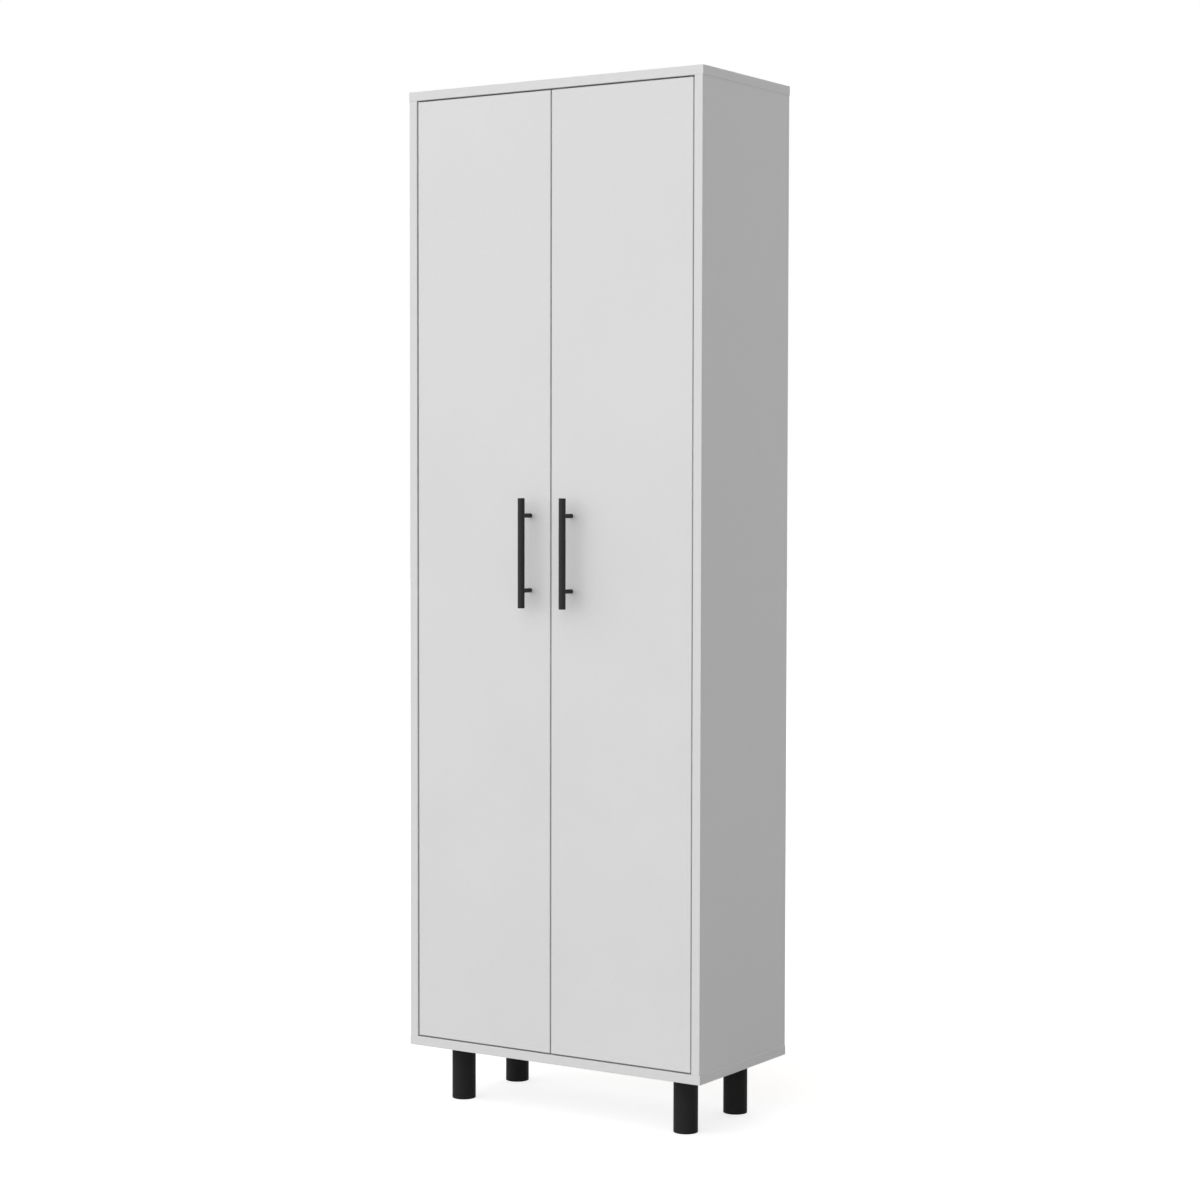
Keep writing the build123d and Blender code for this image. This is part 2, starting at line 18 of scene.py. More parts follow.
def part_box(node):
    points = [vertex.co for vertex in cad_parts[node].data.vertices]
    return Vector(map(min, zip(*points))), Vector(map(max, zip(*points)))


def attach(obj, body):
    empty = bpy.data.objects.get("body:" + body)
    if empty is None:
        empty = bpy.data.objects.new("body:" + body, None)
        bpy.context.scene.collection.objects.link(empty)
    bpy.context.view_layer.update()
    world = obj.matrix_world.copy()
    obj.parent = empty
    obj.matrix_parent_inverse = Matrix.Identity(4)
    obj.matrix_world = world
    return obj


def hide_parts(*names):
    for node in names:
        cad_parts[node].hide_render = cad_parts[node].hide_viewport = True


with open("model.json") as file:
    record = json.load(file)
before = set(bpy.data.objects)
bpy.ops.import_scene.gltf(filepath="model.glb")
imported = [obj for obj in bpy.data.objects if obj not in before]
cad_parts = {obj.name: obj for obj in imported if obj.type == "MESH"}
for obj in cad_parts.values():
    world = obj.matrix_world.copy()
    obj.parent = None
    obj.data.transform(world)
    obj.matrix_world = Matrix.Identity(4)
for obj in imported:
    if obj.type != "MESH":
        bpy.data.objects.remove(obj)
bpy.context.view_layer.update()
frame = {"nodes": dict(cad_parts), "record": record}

nodes = frame["nodes"]
scene = bpy.context.scene
bodies = frame["record"]["behaviour"]["bodies"]
body_of = {node: body for body, members in bodies.items() for node in members}
slot_of = {row["node"]: row["material_slot"] for row in frame["record"]["subparts"]}
print(len(nodes), "nodes on the bodies", list(bodies))

# %% [markdown]
# ## Working in real sizes
# Blender counts in metres and a cabinet maker in millimetres, so sizes are written in millimetres and
# turned to metres where they are used. A texture's scale is the other way round: it counts how many times
# a pattern fits in a metre, so a grain of 2 mm has a scale of 500. Colours are written as they look on a
# screen and are made linear once, because light adds up only in linear values.

# %% Units and colours
MM = 0.001
DIGITS = 5  # decimals of a metre that count when two places are compared: a hundredth of a millimetre


def per_metre(size_mm):
    """The texture scale at which one feature of a pattern is this wide."""
    return 1 / (size_mm * MM)


def linear(hex_colour):
    """A colour written as #RRGGBB, as the linear values that a socket holds."""
    shares = [int(hex_colour[i:i + 2], 16) / 255 for i in (1, 3, 5)]
    return [s / 12.92 if s <= 0.04045 else ((s + 0.055) / 1.055) ** 2.4 for s in shares] + [1.0]


print("a grain of 2 mm has a texture scale of", round(per_metre(2.0)))

# %% [markdown]
# ## One way to add a node
# Finishes and Geometry Nodes are both trees of nodes, so one small function serves them all. It adds a
# node, sets its options and fills its inputs with values or links. Many nodes hold several sockets of one
# name and switch on only those that suit their options, so the function takes the one that is on. The
# inputs of a math node all share one name and go by number. What comes back is one output, ready to be
# linked further.

# %% Add a node
def add(tree, kind, inputs=None, take=None, **options):
    """Adds one node, with its options and inputs, and gives back its first output or the one named."""
    made = tree.nodes.new(kind)
    for option, value in options.items():
        setattr(made, option, value)
    by_name = {socket.name: socket for socket in reversed(made.inputs) if socket.enabled}
    for name, value in (inputs or {}).items():
        socket = made.inputs[name] if isinstance(name, int) else by_name[name]
        if isinstance(value, bpy.types.NodeSocket):
            tree.links.new(value, socket)
        else:
            socket.default_value = value
    return next((socket for socket in made.outputs if socket.enabled and take in (None, socket.name)), None)


print("nodes are added in Blender", bpy.app.version_string)

# %% [markdown]
# ## How a finish starts and ends
# Every finish begins as a Principled shader. What is the same all over, such as the index of refraction,
# is set on the shader itself. Patterns are placed by Object coordinates, which are the frame's own metres
# here, so a grain keeps its size from board to board. In the end, three things lead to the shader: a
# colour, a roughness, and a height that bends the light as a fine relief would.

# %% Start and end a finish
NOISE_SPAN = {"From Min": 0.3, "From Max": 0.7}  # nearly all of a noise pattern lies between these values


def new_finish(name, **constants):
    """An empty finish, its tree, and each point's place on the object."""
    finish = bpy.data.materials.new(name)
    finish.use_nodes = True
    tree = finish.node_tree
    for socket, value in constants.items():
        tree.nodes["Principled BSDF"].inputs[socket.replace("_", " ")].default_value = value
    return finish, tree, add(tree, "ShaderNodeTexCoord", take="Object")


def lay_on(finish, colour, roughness, height, strength, depth_mm=0.1):
    """Leads a colour, a roughness and a height to the finish's shader."""
    tree = finish.node_tree
    relief = {"Strength": strength, "Distance": depth_mm * MM, "Height": height}
    led = {"Base Color": colour, "Roughness": roughness, "Normal": add(tree, "ShaderNodeBump", relief)}
    for socket, output in led.items():
        tree.links.new(output, tree.nodes["Principled BSDF"].inputs[socket])
    return finish


def dress(node, finish):
    """Gives a built node its finish."""
    nodes[node].data.materials.clear()
    nodes[node].data.materials.append(finish)


def dress_slots(by_slot):
    """Gives every node of these slots its finish."""
    for node, slot in slot_of.items():
        if slot in by_slot:
            dress(node, by_slot[slot])


print("noise is stretched between", *NOISE_SPAN.values())

# %% [markdown]
# ## White melamine on particle board
# The boards are pressed wood chips under a thin sheet of printed paper in melamine resin. Edges that show
# are closed with a plastic strip about a millimetre thick, which leaves a hairline on the face beside it.
# Edges that don't show are left raw, so the chips look out at the back of the carcass, in the grooves and
# in every bore.
#
# All of that could be painted on a map, but it follows from one measure: how deep a point lies under the
# board's finished sides. The material works it out from the board's own corners, so no bore needs
# painting.

# %% How deep a point lies under a board's sides
FAR = 1.0  # metres; a side that doesn't count is pushed this far away


def depth_under(tree, place, board, sides):
    """The distance from each point to the nearest of a board's sides, such as x- or z+."""
    low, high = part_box(board)
    low_planes = [low[i] - (0 if f"{axis}-" in sides else FAR) for i, axis in enumerate("xyz")]
    high_planes = [high[i] + (0 if f"{axis}+" in sides else FAR) for i, axis in enumerate("xyz")]
    from_low = add(tree, "ShaderNodeVectorMath", {0: place, 1: low_planes}, operation="SUBTRACT")
    from_high = add(tree, "ShaderNodeVectorMath", {0: high_planes, 1: place}, operation="SUBTRACT")
    nearest = add(tree, "ShaderNodeVectorMath", {0: from_low, 1: from_high}, operation="MINIMUM")
    along_x, along_y, along_z = add(tree, "ShaderNodeSeparateXYZ", {"Vector": nearest}).node.outputs
    least = add(tree, "ShaderNodeMath", {0: along_x, 1: along_y}, operation="MINIMUM")
    return add(tree, "ShaderNodeMath", {0: least, 1: along_z}, operation="MINIMUM")


print("a side that does not count is pushed", FAR, "m away")

# %% [markdown]
# ### The paper and the edge strip
# Melamine resin is hard, even and satin, with a faint pearl relief from the press plate. Its white drifts
# by a shade over the width of a hand or two, which keeps a tall door from looking like a cut-out. A
# scanned map could give all that, but it would repeat on a door this tall, and two noise patterns, one
# wide and one fine, never do. The strip is a shade darker than the paper, and the joint between them is a
# thin grey line.

# %% The paper and the edge strip
PAPER_DARK, PAPER_LIGHT = linear("#DDDDDD"), linear("#E2E2E2")
STRIP_WHITE, JOINT_GREY = linear("#DEDEDE"), linear("#C6C6C6")
DRIFT = 220  # mm from one shade of the paper to the next
PEARL = 1.6  # mm; the real relief is about 0.3 mm, drawn coarser so that a close view shows it
STRIP = 1.0 * MM  # how thick the plastic strip is
HALF_JOINT = 0.18 * MM  # a real joint is half as wide and would not show


def melamine_paper(tree, place):
    """The colour, roughness and height of the paper."""
    drift = add(tree, "ShaderNodeTexNoise", {"Vector": place, "Scale": per_metre(DRIFT), "Detail": 3.0})
    pearl = add(tree, "ShaderNodeTexNoise", {"Vector": place, "Scale": per_metre(PEARL), "Detail": 2.0})
    both = add(tree, "ShaderNodeMath", {0: drift, 1: pearl}, operation="ADD")
    tone = add(tree, "ShaderNodeMapRange", {"Value": both, "From Min": 0.7, "From Max": 1.3})
    shades = {"Factor": tone, "A": PAPER_DARK, "B": PAPER_LIGHT}
    colour = add(tree, "ShaderNodeMix", shades, data_type="RGBA")
    satin = add(tree, "ShaderNodeMapRange", {"Value": tone, "To Min": 0.40, "To Max": 0.50})
    return colour, satin, pearl


def edge_strip(tree, place, board, edges, paper):
    """The paper's colour, with a strip along the edges named and a hairline beside it."""
    from_edge = depth_under(tree, place, board, edges)
    on_strip = add(tree, "ShaderNodeMath", {0: from_edge, 1: STRIP}, operation="LESS_THAN")
    on_joint = add(tree, "ShaderNodeMath", {0: from_edge, 1: STRIP, 2: HALF_JOINT}, operation="COMPARE")
    edged = add(tree, "ShaderNodeMix", {"Factor": on_strip, "A": paper, "B": STRIP_WHITE}, data_type="RGBA")
    return add(tree, "ShaderNodeMix", {"Factor": on_joint, "A": edged, "B": JOINT_GREY}, data_type="RGBA")


print("paper relief drawn at", PEARL, "mm, strip", STRIP / MM, "mm thick")

# %% [markdown]
# ### The raw chips and the whole board
# A cut through the board shows pressed chips in many browns, dull and rough. A noise would blur them into
# clouds, so a Voronoi pattern stands for them: its cells have clear borders, and each has a tone of its
# own. Carcass boards are stripped along the front only, the top and bottom also at their ends, and a door
# all round.

# %% Dress the boards
CHIP_DARK, CHIP_LIGHT = linear("#A37C4E"), linear("#DCC296")
CHIP = 2.4  # mm across a chip
CHIP_ROUGHNESS = 0.9
SKIN = 0.45 * MM  # deeper than this the chips show; the eased edges stay above it
CARCASS_EDGES = ("y-",)
CAP_EDGES = ("y-", "x-", "x+")
DOOR_EDGES = ("x-", "x+", "z-", "z+")


def melamine_board(board, edges):
    """Paper on both faces, a strip on the edges named, and raw chips under both."""
    low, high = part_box(board)
    thin = min("xyz", key=lambda axis: getattr(high, axis) - getattr(low, axis))
    # Melamine resin refracts as most plastics do; pressed and satin, it gives the eye an even, quiet white.
    finish, tree, place = new_finish(f"white melamine on particle board, {board}", IOR=1.5)
    paper, satin, pearl = melamine_paper(tree, place)
    skin = edge_strip(tree, place, board, edges, paper)
    depth = depth_under(tree, place, board, (f"{thin}-", f"{thin}+") + edges)
    raw = add(tree, "ShaderNodeMath", {0: depth, 1: SKIN}, operation="GREATER_THAN")
    chips = add(tree, "ShaderNodeTexVoronoi", {"Vector": place, "Scale": per_metre(CHIP)})
    browns = add(tree, "ShaderNodeSeparateColor", {"Color": chips.node.outputs["Color"]})
    core = add(tree, "ShaderNodeMix", {"Factor": browns, "A": CHIP_DARK, "B": CHIP_LIGHT}, data_type="RGBA")
    colour = add(tree, "ShaderNodeMix", {"Factor": raw, "A": skin, "B": core}, data_type="RGBA")
    roughness = add(tree, "ShaderNodeMix", {"Factor": raw, "A": satin, "B": CHIP_ROUGHNESS})
    height = add(tree, "ShaderNodeMix", {"Factor": raw, "A": pearl, "B": chips})
    return lay_on(finish, colour, roughness, height, strength=0.10, depth_mm=0.15)


boards = [node for node, slot in slot_of.items() if slot == "white_melamine_board"]
for board in boards:
    edges = CARCASS_EDGES
    if board in ("top_panel", "bottom_panel"):
        edges = CAP_EDGES
    elif board.endswith("_door"):
        edges = DOOR_EDGES
    dress(board, melamine_board(board, edges))
print(len(boards), "boards in white melamine")

# %% [markdown]
# ## Hardboard backs
# The back is 3 mm hardboard: brown wood fibre, felted, pressed on a wire screen that prints its weave on
# the rough side, which faces the wall, and flecked with bits of bark. The smooth side faces the shelves
# and is rolled with white lacquer. Two materials on picked faces would do, but a built mesh is left
# alone, so one material does both: the two sides lie at different depths in the cabinet. Two wave
# patterns, one across and one up, multiply to the little bumps between the wires.

# %% The felted fibre
FIBRE_DARK, FIBRE_LIGHT, BARK = linear("#5F462E"), linear("#B89A76"), linear("#4A3624")
FLECK, BLOTCH = 2.4, 90  # mm across a bundle of fibres, and across a patch of one tone
CLOUD_SHARE = 0.4  # how much of the tone comes from the large patches
BARK_SPACING, BARK_SIZE = 12, 0.7  # mm from one bit of bark to the next, and half the width of one
SCREEN_PITCH = 2.4  # mm; a real screen has about 1.2 mm between wires and would not show
WAVE_PERIOD = pi / 10  # the length of one wave of Blender's wave texture at a scale of 1


def felted_fibre(tree, place):
    """The colour of the rough side, and the heights of its fibres and of the screen's print."""
    felt = {"Vector": place, "Scale": per_metre(FLECK), "Detail": 5.0, "Roughness": 0.65}
    flecks = add(tree, "ShaderNodeMapRange", {"Value": add(tree, "ShaderNodeTexNoise", felt), **NOISE_SPAN})
    cloud = add(tree, "ShaderNodeTexNoise", {"Vector": place, "Scale": per_metre(BLOTCH), "Detail": 2.0})
    screen = {"Vector": place, "Scale": WAVE_PERIOD * per_metre(SCREEN_PITCH)}
    across = add(tree, "ShaderNodeTexWave", screen, take="Fac", bands_direction="X")
    upright = add(tree, "ShaderNodeTexWave", screen, take="Fac", bands_direction="Z")
    weave = add(tree, "ShaderNodeMath", {0: across, 1: upright}, operation="MULTIPLY")
    printed = add(tree, "ShaderNodeMath", {0: weave, 1: flecks}, operation="ADD")
    mottled = add(tree, "ShaderNodeMath", {0: cloud, 1: CLOUD_SHARE, 2: printed}, operation="MULTIPLY_ADD")
    tone = add(tree, "ShaderNodeMapRange", {"Value": mottled, "From Min": 0.0, "From Max": 1.8})
    browns = {"Factor": tone, "A": FIBRE_DARK, "B": FIBRE_LIGHT}
    felted = add(tree, "ShaderNodeMix", browns, data_type="RGBA")
    bits = add(tree, "ShaderNodeTexVoronoi", {"Vector": place, "Scale": per_metre(BARK_SPACING)})
    on_bark = add(tree, "ShaderNodeMath", {0: bits, 1: BARK_SIZE / BARK_SPACING}, operation="LESS_THAN")
    colour = add(tree, "ShaderNodeMix", {"Factor": on_bark, "A": felted, "B": BARK}, data_type="RGBA")
    return colour, flecks, printed


print("screen print drawn at", SCREEN_PITCH, "mm")

# %% [markdown]
# ### The lacquered side and the whole panel
# Thin lacquer hides the brown but not the felt, so the smooth side keeps a trace of the fibres in its
# shine. A panel's middle plane parts the two sides.

# %% Dress the backs
LACQUER_DARK, LACQUER_LIGHT = linear("#D6D5D2"), linear("#DEDDDA")
LACQUER_TRACE = 0.15  # how much of the felt still shows through the lacquer
FIBRE_ROUGHNESS = 0.85


def hardboard(panel):
    """Brown screen-printed fibre on the wall side, white lacquer on the shelf side."""
    low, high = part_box(panel)
    # Fibre is dull and mottled; the lacquer over it stays half matt, a little warmer than the boards.
    finish, tree, place = new_finish(f"lacquered hardboard, {panel}", IOR=1.46, Specular_IOR_Level=0.3)
    deep = add(tree, "ShaderNodeSeparateXYZ", {"Vector": place}, take="Y")
    rough_side = add(tree, "ShaderNodeMath", {0: deep, 1: (low.y + high.y) / 2}, operation="GREATER_THAN")
    fibre, flecks, printed = felted_fibre(tree, place)
    whites = {"Factor": flecks, "A": LACQUER_DARK, "B": LACQUER_LIGHT}
    lacquer = add(tree, "ShaderNodeMix", whites, data_type="RGBA")
    colour = add(tree, "ShaderNodeMix", {"Factor": rough_side, "A": lacquer, "B": fibre}, data_type="RGBA")
    trace = add(tree, "ShaderNodeMath", {0: flecks, 1: LACQUER_TRACE}, operation="MULTIPLY")
    height = add(tree, "ShaderNodeMix", {"Factor": rough_side, "A": trace, "B": printed})
    gloss = add(tree, "ShaderNodeMapRange", {"Value": flecks, "To Min": 0.5, "To Max": 0.62})
    roughness = add(tree, "ShaderNodeMix", {"Factor": rough_side, "A": gloss, "B": FIBRE_ROUGHNESS})
    return lay_on(finish, colour, roughness, height, strength=0.6, depth_mm=0.25)


panels = [node for node, slot in slot_of.items() if slot == "hardboard_back"]
for panel in panels:
    dress(panel, hardboard(panel))
print("hardboard on", panels)

# %% [markdown]
# ## Moulded plastics
# The legs, their plates, the glides, the cover caps and the catch housings are moulded. A mould is spark
# eroded, so plastic comes out with a fine even grain that breaks up its shine, and tone and gloss wander
# a little where the melt cooled. The legs also carry the two faint lines where the halves of the mould
# met. Real relief would need millions of faces for that grain, so it is a bump. All of them are one
# material with different numbers, so one function makes them.

# %% One moulded plastic
GRAIN = 1.1  # mm; the eroded grain is nearer 0.2 mm, drawn coarser so that a close view shows it
COOLING = 30  # mm from one tone of the melt to the next
GLOSS_SPREAD = 0.06  # how far roughness wanders each way over the grain
MOULD_LINE = 0.15 * MM  # half the width of the ridge where the mould parts


def moulded_plastic(name, dark, light, roughness, shine, parting_planes=()):
    """A plastic of two close tones, its grain in bump and gloss, and any mould lines as ridges."""
    finish, tree, place = new_finish(name, IOR=1.49, Specular_IOR_Level=shine)
    grain = add(tree, "ShaderNodeTexNoise", {"Vector": place, "Scale": per_metre(GRAIN), "Detail": 2.0})
    cloud = add(tree, "ShaderNodeTexNoise", {"Vector": place, "Scale": per_metre(COOLING), "Detail": 2.0})
    shades = {"Factor": cloud, "A": linear(dark), "B": linear(light)}
    colour = add(tree, "ShaderNodeMix", shades, data_type="RGBA")
    spread = {"To Min": roughness - GLOSS_SPREAD, "To Max": roughness + GLOSS_SPREAD}
    gloss = add(tree, "ShaderNodeMapRange", {"Value": grain, **NOISE_SPAN, **spread})
    height = grain
    deep = add(tree, "ShaderNodeSeparateXYZ", {"Vector": place}, take="Y")
    for plane in parting_planes:
        ridge = add(tree, "ShaderNodeMath", {0: deep, 1: plane, 2: MOULD_LINE}, operation="COMPARE")
        height = add(tree, "ShaderNodeMath", {0: height, 1: ridge}, operation="ADD")
    return lay_on(finish, colour, gloss, height, strength=0.18)


print("plastic grain drawn at", GRAIN, "mm")

# %% [markdown]
# ### Where each plastic goes
# A leg's mould parts along an upright plane through its middle, from side to side. The two planes, one
# for the front legs and one for the rear ones, are measured on the legs, so the lines follow if a leg is
# moved in the design.

# %% Dress the plastics
legs = [node for node, slot in slot_of.items() if slot == "black_leg_plastic"]
leg_middles = sorted({round(sum(corner.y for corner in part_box(leg)) / 2, DIGITS) for leg in legs})
plastics = {
    # Legs: a dull satin black, which reads as a soft dark round without a hard highlight.
    "black_leg_plastic": moulded_plastic(
        "moulded black leg plastic", "#2A2A2A", "#303030", roughness=0.48, shine=0.03,
        parting_planes=leg_middles,
    ),
    # Leg plates: the same black, a shade greyer and duller, because nobody sees them.
    "black_fitting_plastic": moulded_plastic(
        "moulded black plate plastic", "#2B2B2B", "#323232", roughness=0.5, shine=0.03
    ),
    # Glides: a waxy dark grey that slides on the floor, scuffed to a half-matt.
    "glide_plastic": moulded_plastic(
        "moulded grey glide plastic", "#3A3A3A", "#474747", roughness=0.55, shine=0.4
    ),
    # Caps and catches: a smooth white, shinier than the boards, so they read as separate pieces.
    "white_fitting_plastic": moulded_plastic(
        "moulded white plastic", "#DAD9D6", "#E3E2DF", roughness=0.38, shine=0.5
    ),
}
dress_slots(plastics)
print("plastics:", sorted(plastics))

# %% [markdown]
# ## Powder-coated handles
# The bars are steel, sprayed with black powder and baked. Powder flows as it melts and sets in a very
# shallow orange peel, satin rather than matt, so a bar shows one soft streak of light along its length.
# The peel goes into bump and roughness, because it bends the light and leaves the outline alone; the
# colour stays nearly even.

# %% Dress the handles
COAT_DARK, COAT_LIGHT = linear("#2E2E2E"), linear("#363636")
PEEL, DUST = 1.8, 12  # mm from one swell of the coat to the next, and from one tone to the next


def powder_coat():
    """Black powder coat with its orange peel."""
    # A pigmented resin: its weak mirror is broken by the peel, so black stays black under bright lamps.
    finish, tree, place = new_finish("black powder coat on steel", IOR=1.5, Specular_IOR_Level=0.1)
    peel = add(tree, "ShaderNodeTexNoise", {"Vector": place, "Scale": per_metre(PEEL), "Detail": 1.0})
    dust = add(tree, "ShaderNodeTexNoise", {"Vector": place, "Scale": per_metre(DUST), "Detail": 4.0})
    colour = add(tree, "ShaderNodeMix", {"Factor": dust, "A": COAT_DARK, "B": COAT_LIGHT}, data_type="RGBA")
    gloss = add(tree, "ShaderNodeMapRange", {"Value": peel, **NOISE_SPAN, "To Min": 0.36, "To Max": 0.46})
    return lay_on(finish, colour, gloss, peel, strength=0.12)


dress_slots({"black_handle_steel": powder_coat()})
print("powder coat with a peel of", PEEL, "mm")

# %% [markdown]
# ## Plated steel and cast zinc
# Hinges are pressed steel under bright nickel, screws and brackets are zinc plated, and the cam drums are
# cast zinc. One polished grey would do from afar, but the three differ in tone, in polish and in how
# coarse their clouds are. So one function makes them from those numbers, with a mirror-like shader whose
# roughness wanders.

# %% Dress the metals
PITS = 0.9  # mm across a pit in the plating
POLISH_SPREAD = 0.06  # how far roughness wanders each way over the clouds


def plated_metal(name, dull, bright, roughness, blotch, pitting):
    """A metal whose tone and polish wander from place to place, as plating does."""
    finish, tree, place = new_finish(name, Metallic=1.0)
    cloud = add(tree, "ShaderNodeTexNoise", {"Vector": place, "Scale": per_metre(blotch), "Detail": 4.0})
    pits = add(tree, "ShaderNodeTexNoise", {"Vector": place, "Scale": per_metre(PITS), "Detail": 3.0})
    shades = {"Factor": cloud, "A": linear(dull), "B": linear(bright)}
    colour = add(tree, "ShaderNodeMix", shades, data_type="RGBA")
    spread = {"To Min": roughness + POLISH_SPREAD, "To Max": roughness - POLISH_SPREAD}
    polish = add(tree, "ShaderNodeMapRange", {"Value": cloud, **NOISE_SPAN, **spread})
    return lay_on(finish, colour, polish, pits, strength=pitting)


metals = {
    # Bright nickel: warm and nearly a mirror, so the hinges glint when a door stands open.
    "nickel_steel": plated_metal(
        "bright nickel on pressed steel", "#B5B0A6", "#CFCBC2", roughness=0.26, blotch=9, pitting=0.05
    ),
    # Zinc plate: cold and soft, a little blotchy from the rinse.
    "zinc_plated_steel": plated_metal(
        "zinc-plated steel", "#9DA3A8", "#C2C6C8", roughness=0.38, blotch=4, pitting=0.10
    ),
    # Cast zinc: grey and dull, with the pitted skin of a casting.
    "zinc_casting": plated_metal(
        "die-cast zinc", "#85888C", "#A3A6A9", roughness=0.5, blotch=3, pitting=0.30
    ),
}
dress_slots(metals)
print("metals:", sorted(metals))

# %% [markdown]
# ## Ferrite and beech
# Magnets are fired ferrite, a ceramic that takes the same grain as a plastic, so the plastics' function
# serves again. Dowels are turned beech, with short dark flecks along the grain. Every dowel could have a
# map of its own, but all of them lie across or upright, so one noise that is squeezed from front to back
# suits them all.

# %% Dress the magnets and dowels
BEECH_DARK, BEECH_LIGHT = linear("#A67C52"), linear("#DDB98C")
BEECH_FLECK = 3  # mm along a fleck
FLECK_SQUEEZE = (1.0, 4.0, 1.0)  # how many times thinner a fleck is from front to back


def turned_beech():
    """Bare beech with its flecks."""
    # Bare wood scatters light in its fibres: warm, matt, and a little shinier where a fleck lies.
    finish, tree, place = new_finish("turned beech", IOR=1.45, Specular_IOR_Level=0.3)
    grain = add(tree, "ShaderNodeMapping", {"Vector": place, "Scale": FLECK_SQUEEZE})
    fibres = {"Vector": grain, "Scale": per_metre(BEECH_FLECK), "Detail": 5.0}
    flecks = add(tree, "ShaderNodeTexNoise", fibres)
    tans = {"Factor": flecks, "A": BEECH_DARK, "B": BEECH_LIGHT}
    colour = add(tree, "ShaderNodeMix", tans, data_type="RGBA")
    dull = add(tree, "ShaderNodeMapRange", {"Value": flecks, "To Min": 0.55, "To Max": 0.75})
    return lay_on(finish, colour, dull, flecks, strength=0.2)


others = {
    # Ferrite: nearly black and chalky.
    "magnet_ferrite": moulded_plastic("fired ferrite", "#2C2C2E", "#3A3A3C", roughness=0.72, shine=0.3),
    "beech_dowel": turned_beech(),
}
dress_slots(others)
finishes = {**plastics, **metals, **others}
print("others:", sorted(others))

# %% [markdown]
# ## Reading the turned fittings off the frame
# Screws, nails, shelf pins, cover caps and dowels are all turned: a row of radii along one axis. Their
# sizes could be typed in again, but then two lists would have to agree. The frame holds each fitting as a
# plain solid, so its place, direction and sizes are measured there, and the finer shape is grown on the
# spot. A node's mesh is loose triangles, so a copy is welded first and then walked from corner to corner,
# which parts it into its solids.

# %% Part a node into its solids
WELD = 0.001 * MM  # corners nearer than this are one corner


def welded_copy(node):
    """A copy of a node's mesh with its loose triangles joined."""
    welded = bmesh.new()
    welded.from_mesh(nodes[node].data)
    bmesh.ops.remove_doubles(welded, verts=welded.verts, dist=WELD)
    return welded


def lowest_corner(corners):
    """The corner that comes first, rounded so that every run puts the solids in the same order."""
    return min(tuple(round(v, DIGITS) for v in corner) for corner in corners)


def solids_of(node):
    """The corners of each separate solid in a node."""
    welded = welded_copy(node)
    waiting = set(welded.verts)
    solids = []
    while waiting:
        edge_of_walk = [waiting.pop()]
        corners = []
        while edge_of_walk:
            corner = edge_of_walk.pop()
            corners.append(corner.co.copy())
            linked = {edge.other_vert(corner) for edge in corner.link_edges} & waiting
            waiting -= linked
            edge_of_walk.extend(linked)
        solids.append(corners)
    welded.free()
    return sorted(solids, key=lowest_corner)


print("leg screws:", len(solids_of("leg_screws")))

# %% [markdown]
# ### From corners to sizes
# The long side of a fitting's box is its axis, except on a flat cap, where it is the short one. Corners
# at the full radius belong to the head, and the head's end tells which way the fitting goes in. The
# deepest of those corners is the seat, where the head lies on the part that it holds.

# %% Measure a fitting
Site = namedtuple("Site", "top seat inward length radius shank")
HEAD_SHARE = 0.97  # corners this near the full radius belong to the head
SEAT_STEP = 0.05 * MM  # corners deeper than the seat by this belong to the shank


def measure_fitting(corners, pick_axis):
    """Where a fitting starts and sits, which way it runs, and how long and thick it is."""
    low, high = (Vector([pick(column) for column in zip(*corners)]) for pick in (min, max))
    span = high - low
    axis = pick_axis(range(3), key=lambda i: span[i])
    middle = (low + high) / 2
    inward = Vector([float(i == axis) for i in range(3)])
    heights = [(corner - middle).dot(inward) for corner in corners]
    radii = [(corner - middle - inward * h).length for corner, h in zip(corners, heights)]
    radius = max(radii)
    head = [h for h, r in zip(heights, radii) if r > HEAD_SHARE * radius]
    if sum(head) > 0:
        inward, heights, head = -inward, [-h for h in heights], [-h for h in head]
    seat = max(head)
    shank = max((r for h, r in zip(heights, radii) if h > seat + SEAT_STEP), default=radius)
    top = middle - inward * span[axis] / 2
    return Site(top, middle + inward * seat, inward, span[axis], radius, shank)


def sites_of(node, pick_axis=max):
    """Every fitting in a node; pick_axis is min where the axis is the short side."""
    return [measure_fitting(corners, pick_axis) for corners in solids_of(node)]


sample = sites_of("leg_screws")[0]
print("a leg screw's head is", round(2 * sample.radius / MM, 2), "mm across")
print("its shank is", round(2 * sample.shank / MM, 2), "mm across")

# %% [markdown]
# ## Growing fittings with Geometry Nodes
# A lathe could be coded for each fitting, but Geometry Nodes suit them better: one shape is made from a
# few named sizes and set on many points. Every body is turned in the same way: a straight axis is cut
# into even rings, and a curve gives each ring its share of the radius.

# %% A tree, and a turned body in it
def new_tree(name, sizes):
    """An empty tree: points, named sizes and a finish go in, and fittings come out."""
    tree = bpy.data.node_groups.new(name, "GeometryNodeTree")
    tree.interface.new_socket("Points", in_out="INPUT", socket_type="NodeSocketGeometry")
    for size in sizes:
        tree.interface.new_socket(size, in_out="INPUT", socket_type="NodeSocketFloat")
    tree.interface.new_socket("Finish", in_out="INPUT", socket_type="NodeSocketMaterial")
    tree.interface.new_socket("Fittings", in_out="OUTPUT", socket_type="NodeSocketGeometry")
    return tree, add(tree, "NodeGroupInput").node.outputs


